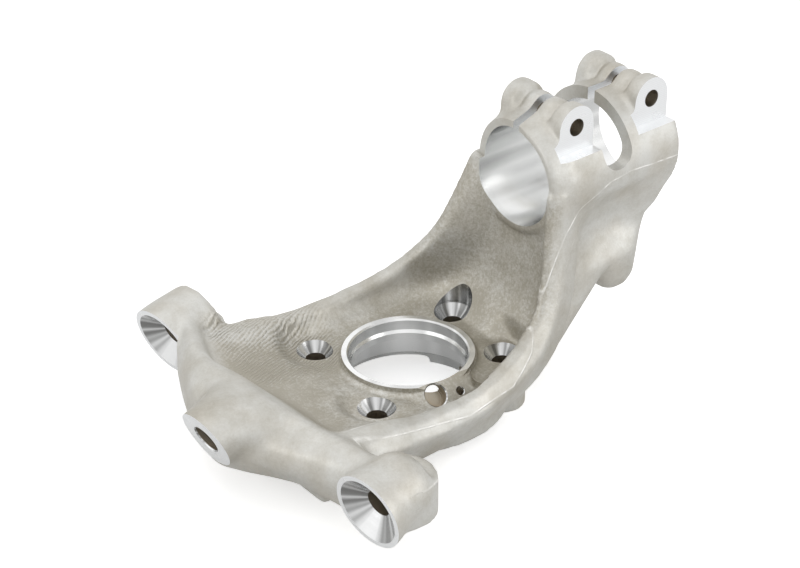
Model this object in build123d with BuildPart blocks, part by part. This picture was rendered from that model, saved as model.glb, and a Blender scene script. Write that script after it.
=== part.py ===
from build123d import *
from math import atan, cos, degrees, radians, sin, tan
import os

os.makedirs("parts", exist_ok=True)

# steering knuckle of a strut suspension, one aluminium forging, millimetres
# modelled from the plane of the four outboard boss faces, then moved so that the
# origin is on the hub axis at the bearing shoulder
# +Z inboard along the hub axis, +X towards the strut clamp

# hub
hub_height = 40.0
hub_r = 38.0
hub_rim_w = 3.6
hub_rim_chamfer = 1.0
hub_land_r = 36.8
hub_land_h = 4.5
hub_upper_h = 7.7
bearing_r = 46.0
bearing_depth = 17.8
ring_face_z = 8.0
flange_r = 64.0
flange_h = 22.0
flange_taper = -10.0

# hub bolt holes, angles from +X seen from inboard
bolt_r = 6.5
bolt_pitch_r = 59.7
bolt_angles = [21.7, 132.9, 212.3, -34.8]
bolt_boss_r = 15.5
bolt_seat_z = 29.5
bolt_cone_angle = 46.0
bolt_cone_h = 16.0

# strut clamp
clamp_r = 32.5
clamp_wall = 8.5
clamp_y = -9.5
clamp_z = 142.0
clamp_x0 = 77.5
clamp_length = 104.5
clamp_end_r = 36.5
clamp_end_l = 14.0
clamp_mouth_x = 78.6
clamp_mouth_yaw = 5.7
gap_w = 24.0
gap_floor_z = 146.0
gap_corner_r = 14.0
slit_w = 6.0
ear_face_y = -37.0
ear_back_y = 17.5
ear_stock = 5.0
ear_plate_t = 9.5
ear_r = 14.2
ear_bolt_r = 5.75
ear_bolt_z = 178.4
ear_step_z = 161.8
ear_rib = 3.8
land_z = 184.5
land_w = 22.0
land_low_z = 181.0
ear_flare = 4.0
ear_root = 8.0

# ball joint eyes and steering boss
eye_seat_r = 21.0
eye_hole_r = 8.4
eye_cone_depth = 9.0
eye_mill_over = 1.0
eye_mill_l = 15.0
right_eye_c = (-123.0, -115.5, 41.0)
right_eye_yaw = 7.0
right_eye_tilt = 9.0
right_eye_r = 24.5
right_eye_l = 36.0
right_eye_draft = 4.0
left_eye_c = (-119.0, 98.0, 47.0)
left_eye_yaw = 7.0
left_eye_tilt = 16.0
left_eye_r = 25.0
left_eye_l = 37.0
left_eye_draft = 7.0
boss_c = (-159.0, -9.0, 48.5)
boss_yaw = 4.0
boss_tilt = 21.0
boss_r = 20.0
boss_hole_r = 9.2
boss_hole_l = 30.0
boss_l = 34.0
boss_taper = -3.0

# wheel speed sensor pad
sensor_gap = 6.8
sensor_angle = -106.6
sensor_z = 34.5
sensor_tilt = 42.0
sensor_yaw = -4.2
sensor_r = 7.2
sensor_guide_l = 5.0
sensor_tip_r = 6.4
sensor_l = 16.0
sensor_screw_r = 2.5
sensor_screw_dx = 17.0
sensor_screw_dy = -3.1
sensor_screw_l = 8.0
sensor_pad_x0 = -13.0
sensor_pad_x1 = 28.0
sensor_pad_y0 = -15.0
sensor_pad_y1 = 12.0
sensor_pad_t = 9.0

clamp_x1 = clamp_x0 + clamp_length
collar_l = (clamp_length - gap_w) / 2
gap_x0 = clamp_x0 + collar_l
gap_x1 = clamp_x1 - collar_l
ear_ends = [gap_x0, clamp_x1]
bearing_top_z = ring_face_z + bearing_depth
bolt_points = [(bolt_pitch_r * cos(radians(a)), bolt_pitch_r * sin(radians(a))) for a in bolt_angles]
sensor_pitch_r = hub_r + sensor_gap
sensor_c = (
    sensor_pitch_r * cos(radians(sensor_angle)),
    sensor_pitch_r * sin(radians(sensor_angle)),
    sensor_z,
)
eye_taper = degrees(atan((eye_seat_r - eye_hole_r) / eye_cone_depth))

# channel stations: floor point x and z, turn of the section about Y
stations = [
    (-100, 52, -8),
    (-70, 44, -10),
    (-42, 35, -4),
    (0, 33.5, 0),
    (38, 35, 6),
    (60, 43, 35),
    (73, 62, 65),
    (79, 88, 85),
    (80.5, 114, 90),
    (80.5, 142, 90),
]
# outside of the channel at each station: y and height over the floor of the bottom edge,
# of the parting edge and of the rib crest, first the front side, then the rear
front = [
    (-66, -34, -80, -6, -74, 4),
    (-66, -28, -79, -3, -73, 8),
    (-63, -26, -77, -1, -71, 9),
    (-61, -24, -75, -1, -69, 10),
    (-58, -20, -71, 8, -65, 20),
    (-56, -16, -66, 8, -60, 21),
    (-54, -16, -60, 4, -55, 14),
    (-50, -18, -54, -2, -51, 11),
    (-48, -20, -51, -4, -48, 8),
    (-46, -20, -50, -4, -46, 5),
]
rear = [
    (72, -34, 92, -6, 86, 6),
    (70, -28, 86, -3, 80, 12),
    (66, -26, 82, -1, 76, 14),
    (64, -24, 79, -1, 73, 17),
    (62, -20, 76, 8, 70, 21),
    (56, -16, 69, 10, 65, 25),
    (50, -16, 63, 8, 59, 23),
    (42, -18, 52, 3, 48, 18),
    (36, -20, 43, -2, 40, 11),
    (30, -20, 35, -5, 33, 2),
]
# valley at each station: y and height of the front crest, floor edges, y and height of the rear crest
valley = [
    (-60, 8, -38, 42, 70, 8),
    (-63, 10, -46, 46, 69, 13),
    (-64, 10, -50, 50, 67, 15),
    (-62, 10, -50, 52, 64, 17),
    (-57, 20, -47, 50, 61, 21),
    (-53, 21, -44, 42, 56, 25),
    (-49, 14, -42, 28, 50, 23),
    (-46, 11, -40, 14, 40, 18),
    (-43, 8, -38, 8, 32, 11),
    (-42, 5, -38, 2, 25, 2),
]
# leg under the clamp: height, x range, y range, corner radius
leg = [
    (12, 40, 68, -44, 44, 12),
    (24, 56, 86, -48, 46, 14),
    (42, 72, 108, -45, 43, 14),
    (62, 82, 132, -42, 36, 14),
    (82, 85, 158, -40, 32, 12),
    (102, 86, 179, -40, 28, 8),
    (122, 86, 182, -46, 29, 4),
    (142, 86, 182, -50, 31, 3),
]
nose = [
    (48, 138, 158, -37, -18, 8),
    (56, 133, 163, -40, -13, 10),
    (74, 127, 166, -41, -4, 12),
    (100, 118, 178, -39, 10, 14),
]
# bar between the eyes: y, x range, z range, corner radius
bar = [
    (-108, -120, -94, 28, 56, 12),
    (-80, -124, -92, 20, 60, 14),
    (-50, -136, -92, 18, 60, 15),
    (-9, -154, -92, 22, 65, 18),
    (40, -141, -92, 20, 62, 15),
    (70, -126, -90, 22, 62, 14),
    (92, -118, -90, 30, 66, 12),
]


def between(rows, n):
    # rows of numbers with n - 1 smooth rows added in every interval
    out = []
    last = len(rows) - 1
    for i in range(last):
        a, b, c, d = rows[max(i - 1, 0)], rows[i], rows[i + 1], rows[min(i + 2, last)]
        for k in range(n):
            t = k / n
            w = (
                (2 * t * t - t - t ** 3) / 2,
                (3 * t ** 3 - 5 * t * t + 2) / 2,
                (4 * t * t - 3 * t ** 3 + t) / 2,
                (t ** 3 - t * t) / 2,
            )
            out.append([w[0] * p + w[1] * q + w[2] * r + w[3] * s for p, q, r, s in zip(a, b, c, d)])
    out.append(rows[last])
    return out


def softened(u0, u1, v0, v1, r):
    # outline of a rectangle with its corners rounded in three short flats each
    corners = [(u1 - r, v1 - r, 0), (u0 + r, v1 - r, 90), (u0 + r, v0 + r, 180), (u1 - r, v0 + r, 270)]
    out = []
    for cu, cv, start in corners:
        for turn in (0, 30, 60, 90):
            a = radians(start + turn)
            out.append((cu + r * cos(a), cv + r * sin(a)))
    return out


def station(x, z, turn):
    # a plane across the channel, its y axis out of the open side
    a = radians(turn)
    return Plane(origin=(x, 0, z), x_dir=(0, 1, 0), z_dir=(cos(a), 0, sin(a)))


def face_plane(c, yaw, tilt):
    # a plane on a machined face, its z axis into the metal
    b = radians(yaw)
    t = radians(tilt)
    return Plane(
        origin=c,
        x_dir=(-sin(b), cos(b), 0),
        z_dir=(cos(t) * cos(b), cos(t) * sin(b), sin(t)),
    )


right_eye = face_plane(right_eye_c, right_eye_yaw, right_eye_tilt)
left_eye = face_plane(left_eye_c, left_eye_yaw, left_eye_tilt)
boss = face_plane(boss_c, boss_yaw, boss_tilt)
tilt = radians(sensor_tilt)
yaw = radians(sensor_yaw)
sensor = Plane(
    origin=sensor_c,
    x_dir=(cos(yaw), sin(yaw), 0),
    z_dir=(sin(tilt) * sin(yaw), -sin(tilt) * cos(yaw), cos(tilt)),
)

with BuildPart() as knuckle:
    # channel body with its two ribs, lofted through its stations
    tables = [between(table, 2) for table in (stations, front, rear, valley)]
    for s, f, r, v in zip(*tables):
        with BuildSketch(station(*s)):
            with BuildLine():
                Polyline(
                    (v[0], v[1]),
                    (f[4], f[5]),
                    (f[2], f[3]),
                    (f[0], f[1]),
                    (r[0], r[1]),
                    (r[2], r[3]),
                    (r[4], r[5]),
                    (v[4], v[5]),
                )
                Spline(
                    (v[4], v[5]),
                    (v[3], 2),
                    (0.5 * (v[2] + v[3]), 0),
                    (v[2], 2),
                    (v[0], v[1]),
                )
            make_face()
    loft(ruled=True)

    # hub flange, bolt bosses and hub ring
    with BuildSketch(Plane.XY.offset(ring_face_z)):
        Circle(flange_r)
    extrude(amount=flange_h, taper=flange_taper)
    with BuildSketch():
        with Locations(bolt_points):
            Circle(bolt_boss_r)
    extrude(amount=bolt_seat_z)
    with BuildSketch(Plane.XY.offset(ring_face_z)):
        Circle(hub_r + hub_rim_w)
    extrude(amount=hub_height - ring_face_z)

    # wheel speed sensor pad, a block under the pad plane and a cut over it
    for depth, mode in [(-sensor_pad_t, Mode.ADD), (20, Mode.SUBTRACT)]:
        with BuildSketch(sensor):
            with Locations(((sensor_pad_x0 + sensor_pad_x1) / 2, (sensor_pad_y0 + sensor_pad_y1) / 2)):
                Rectangle(sensor_pad_x1 - sensor_pad_x0, sensor_pad_y1 - sensor_pad_y0)
        extrude(amount=depth, mode=mode)

    # leg and nose under the clamp, lofted upwards
    for run in [leg, nose]:
        for z, x0, x1, y0, y1, r in between(run, 2):
            with BuildSketch(Plane.XY.offset(z)):
                with BuildLine():
                    Polyline(softened(x0, x1, y0, y1, r), close=True)
                make_face()
        loft(ruled=True)

    # clamp barrel
    with BuildSketch(Plane.XZ.offset(-clamp_y)):
        with BuildLine():
            Polyline(
                (clamp_x0, clamp_z),
                (clamp_x0, clamp_z + clamp_end_r),
                (clamp_x0 + clamp_end_l, clamp_z + clamp_r + clamp_wall),
                (clamp_x1, clamp_z + clamp_r + clamp_wall),
                (clamp_x1, clamp_z),
                close=True,
            )
        make_face()
    revolve(axis=Axis((0, clamp_y, clamp_z), (1, 0, 0)))

    # ears over each collar
    for x1 in ear_ends:
        with BuildSketch(Plane.XZ.offset(-ear_back_y)):
            with BuildLine():
                Polyline(
                    (x1 - 2 * ear_r, ear_bolt_z),
                    (x1 - 2 * ear_r - ear_flare, ear_step_z - ear_root),
                    (x1, ear_step_z - ear_root),
                    (x1, ear_bolt_z),
                )
                ThreePointArc(
                    (x1, ear_bolt_z),
                    (x1 - ear_r, ear_bolt_z + ear_r),
                    (x1 - 2 * ear_r, ear_bolt_z),
                )
            make_face()
        extrude(amount=ear_back_y - ear_face_y + ear_stock)

    # bar, lofted across, with its two eyes and the steering boss
    for y, x0, x1, z0, z1, r in between(bar, 2):
        with BuildSketch(Plane.XZ.offset(-y)):
            with BuildLine():
                Polyline(softened(x0, x1, z0, z1, r), close=True)
            make_face()
    loft(ruled=True)
    for plane, r, l, draft in [
        (right_eye, right_eye_r, right_eye_l, right_eye_draft),
        (left_eye, left_eye_r, left_eye_l, left_eye_draft),
    ]:
        with BuildSketch(plane):
            Circle(r)
        extrude(amount=l, taper=draft)
    with BuildSketch(boss):
        Circle(boss_r)
    extrude(amount=boss_l, taper=boss_taper)

    # slanted mouth over the valley, clamp bore, slit and the gap between the collars
    with Locations(Location((clamp_mouth_x, clamp_y, clamp_z), (0, 0, -clamp_mouth_yaw))):
        with Locations((-20, 0, 35)):
            Box(40, 120, 70, mode=Mode.SUBTRACT)
    with BuildSketch(Plane.YZ.offset(clamp_x0 - 20)):
        with Locations((clamp_y, clamp_z)):
            Circle(clamp_r)
    extrude(amount=clamp_length + 40, mode=Mode.SUBTRACT)
    with Locations(((clamp_x0 + clamp_x1) / 2, clamp_y, clamp_z + 40)):
        Box(clamp_length + 30, slit_w, 80, mode=Mode.SUBTRACT)
    with BuildSketch(Plane.XZ.offset(-60)):
        with BuildLine():
            Polyline(
                (gap_x0, gap_floor_z + 60),
                (gap_x0, gap_floor_z + gap_corner_r),
            )
            RadiusArc(
                (gap_x0, gap_floor_z + gap_corner_r),
                (gap_x0 + gap_corner_r, gap_floor_z),
                -gap_corner_r,
            )
            Polyline(
                (gap_x0 + gap_corner_r, gap_floor_z),
                (gap_x1, gap_floor_z),
                (gap_x1, gap_floor_z + 60),
                (gap_x0, gap_floor_z + 60),
            )
        make_face()
    extrude(amount=140, mode=Mode.SUBTRACT)

    # milled ear faces, the gap between the ear plates and the lands beside the slit
    for x1 in ear_ends:
        with Locations((x1 - (collar_l - ear_rib) / 2, ear_face_y - 15, ear_step_z + 25)):
            Box(collar_l - ear_rib, 30, 50, mode=Mode.SUBTRACT)
        with Locations((x1 - ear_r, (ear_face_y + ear_back_y) / 2, land_z + 10)):
            Box(2 * ear_r + 4, ear_back_y - ear_face_y - 2 * ear_plate_t, 20, mode=Mode.SUBTRACT)
        with Locations((x1 - land_w - 10, (ear_face_y + ear_back_y) / 2, land_low_z + 10)):
            Box(20, ear_back_y - ear_face_y - 2 * ear_plate_t, 20, mode=Mode.SUBTRACT)
        with BuildSketch(Plane.XZ.offset(-ear_back_y - 20)):
            with Locations((x1 - ear_r, ear_bolt_z)):
                Circle(ear_bolt_r)
        extrude(amount=120, mode=Mode.SUBTRACT)

    # hub bore: inboard clearance, land, bearing seat
    with BuildSketch(Plane.XZ):
        with BuildLine():
            Polyline(
                (0, -1),
                (bearing_r + hub_rim_chamfer + 1, -1),
                (bearing_r + hub_rim_chamfer + 1, ring_face_z),
                (bearing_r, ring_face_z + hub_rim_chamfer + 1),
                (bearing_r, bearing_top_z),
                (hub_land_r, bearing_top_z),
                (hub_land_r, bearing_top_z + hub_land_h),
                (hub_r, hub_height - hub_upper_h),
                (hub_r, hub_height - hub_rim_chamfer),
                (hub_r + hub_rim_chamfer, hub_height),
                (hub_r + hub_rim_w + 2, hub_height),
                (hub_r + hub_rim_w + 2, hub_height + 8),
                (0, hub_height + 8),
                close=True,
            )
        make_face()
    revolve(axis=Axis.Z, mode=Mode.SUBTRACT)

    # hub bolt holes with their conical seats
    with Locations([(x, y, 0) for x, y in bolt_points]):
        Cylinder(bolt_r, 80, mode=Mode.SUBTRACT)
    with Locations([(x, y, bolt_seat_z + bolt_cone_h / 2) for x, y in bolt_points]):
        Cone(bolt_r, bolt_r + bolt_cone_h * tan(radians(bolt_cone_angle)), bolt_cone_h, mode=Mode.SUBTRACT)

    # milled faces, conical seats and holes of the eyes
    for plane, r in [(right_eye, right_eye_r), (left_eye, left_eye_r)]:
        with BuildSketch(plane):
            Circle(r + eye_mill_over)
        extrude(amount=-eye_mill_l, mode=Mode.SUBTRACT)
        with BuildSketch(plane):
            Circle(eye_seat_r)
        extrude(amount=eye_cone_depth, taper=eye_taper, mode=Mode.SUBTRACT)
        with BuildSketch(plane):
            Circle(eye_hole_r)
        extrude(amount=70, mode=Mode.SUBTRACT)
    with BuildSketch(boss):
        Circle(boss_hole_r)
    extrude(amount=boss_hole_l, mode=Mode.SUBTRACT)

    # wheel speed sensor bore and screw hole
    for r, l in [(sensor_r, sensor_guide_l), (sensor_tip_r, sensor_l)]:
        with BuildSketch(sensor):
            Circle(r)
        extrude(amount=-l, mode=Mode.SUBTRACT)
    with BuildSketch(sensor):
        with Locations((sensor_screw_dx, sensor_screw_dy)):
            Circle(sensor_screw_r)
    extrude(amount=-sensor_screw_l, mode=Mode.SUBTRACT)

knuckle.part.locate(Location((0, 0, -bearing_top_z)))
knuckle.part.label = "knuckle"
export_step(knuckle.part, "parts/knuckle.step")
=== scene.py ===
from math import cos, hypot, pi, radians, sin

import bmesh
import bpy
from mathutils import Euler, Matrix, Vector


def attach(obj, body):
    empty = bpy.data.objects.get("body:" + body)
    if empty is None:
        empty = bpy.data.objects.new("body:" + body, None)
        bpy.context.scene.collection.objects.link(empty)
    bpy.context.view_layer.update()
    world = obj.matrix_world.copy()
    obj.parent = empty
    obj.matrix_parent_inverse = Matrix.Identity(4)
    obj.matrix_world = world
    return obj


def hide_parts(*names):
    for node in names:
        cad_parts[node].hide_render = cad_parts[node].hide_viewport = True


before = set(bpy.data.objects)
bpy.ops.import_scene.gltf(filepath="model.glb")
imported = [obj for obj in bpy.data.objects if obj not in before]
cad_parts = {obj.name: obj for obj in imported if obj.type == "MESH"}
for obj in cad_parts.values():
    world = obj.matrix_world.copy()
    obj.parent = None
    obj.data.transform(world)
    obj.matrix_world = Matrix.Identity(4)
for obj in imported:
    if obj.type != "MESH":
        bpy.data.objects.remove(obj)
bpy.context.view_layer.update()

MM = 0.001

# heights below are measured from the outboard boss faces, the frame's origin is the bearing shoulder
SHOULDER = 25.8

# metal left on a face that will be milled
STOCK = 2.0

# hub: the plate under it, and its bore from the mouth up to the rim
PLATE_R0 = 64.0
PLATE_R1 = 68.0
PLATE_Z0 = 6.0
PLATE_Z1 = 30.0
RING_FACE = 8.0
MOUTH_Z = -3.0
MOUTH_R = 51.5
THROAT_R = 48.0
BEARING_R = 46.0
BEARING_LEAD = 2.0
LAND_R = 36.8
LAND_L = 4.5
HUB_R = 38.0
HUB_TOP = 40.0
HUB_STOCK = 8.0
RIM_R = 41.6
RIM_STOCK = 1.2
RIM_EDGE = 1.0
RIM_BORE_L = 7.7
RIM_SIDE_R = RIM_R + 0.7
RIM_SIDE_OUT_R = RIM_R + 4.4
RIM_SIDE_Z = HUB_TOP - 2.4

# bolt holes round the hub, with the radius and height of the wall above each seat
BOLT_PITCH_R = 59.7
BOLT_ANGLES = (21.7, 132.9, 212.3, -34.8)
BOLT_R = 6.5
BOLT_BOSS_R = 15.5
BOLT_SEAT = 29.5
BOLT_CONE = ((10.6, 33.4), (12.4, 36.5), (12.7, 40.0), (12.7, 60.0))

# flats that the dies press about the bolt seats and round the rim: level, top of the reach, fade
PAD_Z = 35.8
PAD_TOP = 48.0
PAD_FADE = (15.0, 27.0)
FLOOR_Z = 37.0
FLOOR_TOP = 47.0
FLOOR_FADE = (49.0, 62.0)
PRESS_CLEAR = 2.2

# scoop that the dies press in the leg: its middle, the fades from there and its depth
SCOOP_X = 137.0
SCOOP_Z = 104.0
SCOOP_X_FADE = (6.0, 44.0)
SCOOP_Y_FADE = (12.0, 30.0)
SCOOP_Z_FADE = (8.0, 33.0)
SCOOP_DEPTH = 8.5

# strut clamp, its slit and the gap between its collars
CLAMP_Y = -9.5
CLAMP_Z = 142.0
CLAMP_R = 32.5
CLAMP_OUT_R = 41.0
CLAMP_X0 = 77.5
CLAMP_X1 = 182.0
CLAMP_BORE_X0 = 57.0
CLAMP_NECK_R = 36.5
CLAMP_NECK_L = 14.0
COLLAR_END_X = 78.6
COLLAR_END_TURN = -5.7
SLIT_W = 6.0
GAP_X0 = 117.75
GAP_X1 = 141.75
GAP_FLOOR = 146.0

# ears of the clamp
EAR_FACE_Y = -37.0
EAR_BACK_Y = 17.5
EAR_BACK_Z = 168.0
EAR_R = 14.2
EAR_BOLT_Z = 178.4
EAR_BOLT_R = 5.75
EAR_STEP_Z = 161.8
EAR_FOOT_Z = EAR_STEP_Z - 8.0
EAR_NECK_Z = EAR_BOLT_Z - 4.0
# along the pinch bolt: from y, to y and radius of the ears, the waists and the lugs beside the slit
EAR_LANDS = ((-43, -26, 14.2), (-30, 10, 9.4), (-21, -12.5, 12), (-6.5, 1, 12), (6.5, 19.5, 14.2))

# eyes: a point on each drilled face, the yaw and tilt of its axis into the metal, then the hole
RIGHT_EYE = ((-123.0, -115.5, 41.0), 7.0, 9.0)
LEFT_EYE = ((-119.0, 98.0, 47.0), 7.0, 16.0)
EYE_CLEAR_R = 27.0
EYE_MOUTH_R = 21.0
EYE_CONE_L = 9.0
EYE_HOLE_R = 8.4
EYE_HOLE_L = 33.0

# steering boss: the same three values, then its hole
STEERING_BOSS = ((-159.0, -9.0, 48.5), 4.0, 21.0)
BOSS_CLEAR_R = 24.0
BOSS_MOUTH_R = 9.9
BOSS_EDGE = 0.8
BOSS_HOLE_R = 9.2
BOSS_HOLE_L = 30.0

# sensor pad beside the rim: its place and limits, then the sensor's bore and its screw hole
SENSOR = (-12.8, -42.93, 34.5)
SENSOR_TILT = 42.0
SENSOR_YAW = -4.2
SENSOR_PAD_X = (-13.0, 28.0)
SENSOR_PAD_Y = (-15.0, 12.0)
SENSOR_PAD_L = 9.0
SENSOR_R = 7.2
SENSOR_END_R = 6.4
SENSOR_STEP_L = 5.0
SENSOR_EDGE = 0.7
SENSOR_L = 6.0
SCREW_X = 17.0
SCREW_Y = -3.1
SCREW_R = 2.5
SCREW_EDGE = 0.5
SCREW_L = 8.0

# how far the tools reach outside the metal
HUB_TOOL_R = 80.0
HUB_TOOL_Z = -6.0
RIM_TOOL_R = RIM_R + 4.0
RIM_TOOL_Z = HUB_TOP + 10.0
BASE_TOOL_X = 90.0
BASE_TOOL_L = 12.0
BOLT_TOOL_Z = -9.0
EYE_TOOL_L = 16.0
PAD_TOOL_SIDE = 0.2
PAD_TOOL_L = 20.0
SENSOR_TOOL_L = 6.0
CLAMP_TOOL_R = 60.0
CLAMP_TOOL_L = 6.0
SLIT_TOOL_X = (60.0, 200.0)
SLIT_TOOL_Z = 222.0
GAP_TOOL_Y = (-80.0, 60.0)
GAP_TOOL_Z = 215.0
COLLAR_TOOL_X = 40.0
COLLAR_TOOL_Y = 60.0
COLLAR_TOOL_Z = 70.0
EAR_TOOL_X = 18.2
EAR_TOOL_Y = (-60.0, 40.0)
EAR_TOOL_Z = 212.0
PINCH_TOOL_Y = -70.0
PINCH_TOOL_L = 110.0

# sections of the forging, the same as the solid's
STATIONS = (
    (-114, 47, -8), (-70, 41, -10), (-42, 35, -4), (0, 33.5, 0), (38, 35, 6),
    (60, 43, 35), (73, 62, 65), (79, 88, 85), (80.5, 114, 90), (80.5, 142, 90),
)
FRONT = (
    (-66, -34, -80, -6, -74, 4), (-66, -28, -79, -3, -73, 8), (-63, -26, -77, -1, -71, 9),
    (-61, -24, -75, -1, -69, 10), (-58, -20, -71, 8, -65, 20), (-56, -16, -66, 8, -60, 21),
    (-54, -16, -60, 4, -55, 14), (-50, -18, -54, -2, -51, 11), (-48, -20, -51, -4, -48, 8),
    (-46, -20, -50, -4, -46, 5),
)
REAR = (
    (72, -34, 92, -6, 86, 6), (70, -28, 86, -3, 80, 12), (66, -26, 82, -1, 76, 14),
    (64, -24, 79, -1, 73, 17), (62, -20, 76, 8, 70, 21), (56, -16, 69, 10, 65, 25),
    (50, -16, 63, 8, 59, 23), (42, -18, 52, 3, 48, 18), (36, -20, 43, -2, 40, 11),
    (30, -20, 35, -5, 33, 2),
)
VALLEY = (
    (-60, 8, -38, 42, 70, 8), (-63, 10, -46, 46, 69, 13), (-64, 10, -50, 50, 67, 15),
    (-62, 10, -50, 52, 64, 17), (-57, 20, -47, 50, 61, 21), (-53, 21, -44, 42, 56, 25),
    (-49, 14, -42, 28, 50, 23), (-46, 11, -40, 14, 40, 18), (-43, 8, -38, 8, 32, 11),
    (-42, 5, -38, 2, 25, 2),
)
VALLEY_RISE = 2.0
LEG = (
    (12, 40, 68, -44, 44, 12), (24, 56, 86, -48, 46, 14), (42, 72, 108, -45, 43, 14),
    (62, 82, 132, -42, 36, 14), (82, 85, 158, -40, 32, 12), (102, 86, 179, -40, 28, 8),
    (122, 86, 182, -46, 29, 4), (142, 86, 182, -50, 31, 3),
)
NOSE = (
    (48, 138, 158, -37, -18, 8), (56, 133, 163, -40, -13, 10),
    (74, 127, 166, -41, -4, 12), (100, 118, 178, -39, 10, 14),
)
# bar between the eyes: y, then the x and z of its section's corners, from the outer foot
# over the crest to the inner foot
BAR = (
    (-108, -116, 24, -119, 40, -115, 54, -106, 58, -98, 54, -94, 44, -94, 26),
    (-80, -118, 21, -122, 38, -118, 52, -105, 58, -97, 54, -92, 43, -92, 21),
    (-50, -126, 24, -134, 38, -131, 50, -112, 60, -104, 55, -96, 45, -92, 19),
    (-9, -148, 22, -154, 38, -150, 54, -121, 65, -111, 59, -98, 46, -92, 21),
    (20, -144, 21, -149, 38, -146, 55, -124, 66, -114, 61, -104, 46, -99, 21),
    (45, -134, 21, -140, 38, -137, 56, -127, 67, -119, 63, -111, 46, -106, 21),
    (70, -120, 24, -128, 40, -125, 59, -117, 69, -109, 64, -102, 48, -98, 24),
    (92, -110, 32, -117, 44, -113, 61, -104, 68, -97, 63, -92, 54, -90, 34),
)
# flow of the boss into the bar: depth, half width, half height and drop of the section
BOSS_FLOW = (
    (-8, 20, 20, 0), (3, 20, 20, 0), (16, 25, 19.5, -4), (30, 33, 18, -8.6), (42, 38, 15, -12),
)
# flow of the eyes into the bar: depth and radius
RIGHT_EYE_FLOW = ((-8, 24.5), (2, 24.5), (10, 22.5), (18, 21.5), (28, 21.5), (38, 16.5))
LEFT_EYE_FLOW = ((-8, 24.8), (2, 24.8), (12, 24), (22, 22.5), (34, 21))
# upright ends of the bar behind the eyes: x, y, radius and height range
HEELS = ((-96, -110, 22.5, 25, 51), (-97, 96, 20, 32, 54))
# distance from the hub's axis over which the side of the bar turns softer
BAR_SIDE = (78.0, 100.0)

# parting line of the forging dies on the front side, as x and z, and the limits of where it runs
PARTING = (
    (-96, 52), (-82.8, 49.9), (-43.4, 40.7), (-11.1, 35), (24.6, 39.5), (46.1, 53.3), (62.4, 73.6),
    (74.3, 96), (84.7, 115.4), (100.8, 128.7), (121.6, 139.6), (138.8, 141.9), (156, 140.6), (190, 139),
)
PARTING_Y = -38.0
PARTING_PAD_X = (-30.0, 22.0)
PARTING_PAD_Y = -57.0
PARTING_FAR = 10.0

# reach of the painted shade that darkens the skin inside the channel: where it fades in, and where it
# fades out again
HOLLOW_X = ((-112, -100), (84, 90))
HOLLOW_Y = ((-62, -50), (44, 68))
HOLLOW_TOP = (128, 150)
HOLLOW_OPEN = (0.05, 0.5)
CHANNEL_TURN_X = 45.0
# foot of the channel's wall, where the painted shade is deeper
FOOT_X = (-92, -66)
FOOT_Y = ((-66, -40), (10, 50))
FOOT_MORE = 0.7

# reach of the cutter rows inside the channel, near the left eye
ROWS_X = ((-108, -94), (-40, -8))
ROWS_Y = (8, 26)
ROWS_TOP = (60, 68)
ROWS_OPEN = (0.1, 0.4)

# fineness of the mesh: rows between sections, sides of round forms, skin, softening and creases
ROWS_BETWEEN = 3
VALLEY_ROWS = 10
CORNER_STEPS = 5
FLOW_SIDES = 64
ROUND_SIDES = 96
BORE_SIDES = 160
PINCH_SIDES = 48
SCREW_SIDES = 32
GAP_STEPS = 24
SKIN_CELL = 1.9
SOFT_SHARE = 0.5
SOFT_PASSES = 7
FLOW_PASSES = 26
FORGED_CREASE = 50.0
CUT_CREASE = 17.0
TOUCH = 0.01
MERGE = 0.001

# finishes of the knuckle, in the order of its material slots, and their colours
FORGED, TURNED, BORED, MILLED, DRILLED = range(5)
FORGED_LIGHT = (0.66, 0.655, 0.625)
FORGED_WARM = (0.60, 0.56, 0.49)
# darker tone of the skin at random, which is also the colour of its painted shade in the channel
FORGED_DARK_AND_SHADE = (0.43, 0.405, 0.345)
# lighter colour along the parting ridge, a painted highlight
FORGED_LINE_HIGHLIGHT = (0.86, 0.85, 0.82)
# turned and bored colours: the bright and the dark tone of the painted reflections banded round the axis
TURNED_COLOUR = (0.86, 0.865, 0.865)
TURNED_SHADE = (0.20, 0.20, 0.195)
BORED_COLOUR = (0.95, 0.955, 0.95)
BORED_SHADE = (0.66, 0.665, 0.66)
MILLED_COLOUR = (0.90, 0.91, 0.92)
MILLED_SHADE = (0.86, 0.87, 0.875)
# dark wall of the drilled holes, a painted shade inside them
DRILLED_SHADE = (0.42, 0.36, 0.28)

# share of the dark tone in plain skin, the painted shade that a hollow adds, and the painted shade that
# the cutter rows add along their relief and take back over their patch
SKIN_DARK = 0.22
HOLLOW_SHADE = 0.5
ROWS_SHADE = 0.9
ROWS_SHADE_LIFT = 0.55
ROWS_HEIGHT = 1.6
ROWS_TURN = 68.0
LINE_HEIGHT = 1.5
LINE_EDGE = (0.25, 0.75)

# pitch and depth of the tool marks, in metres
LATHE_PITCH = 0.0007
DRILL_PITCH = 0.0011
FORGED_DEPTH = 0.0002
LATHE_DEPTH = 0.00003
MILL_DEPTH = 0.00004
DRILL_DEPTH = 0.0002

# studio: ground, lamps as name, place, side and watts, and light of the surroundings
GROUND_SIZE = 3000.0
GROUND_COLOUR = (0.93, 0.93, 0.93)
GROUND_LIFT = 0.5
LAMP_AIM = (10.0, 0.0, 70.0)
LAMPS = (
    ("top_panel", (-100.0, 200.0, 1100.0), 1100.0, 0.9),
    ("left_panel", (-1100.0, 100.0, 520.0), 700.0, 1.2),
    ("right_panel", (500.0, -1000.0, 420.0), 600.0, 1.6),
)
WHITE = (1.0, 1.0, 1.0, 1.0)
SOFT_LIGHT = 0.8
PLAIN_LIGHT = 1.0

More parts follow.
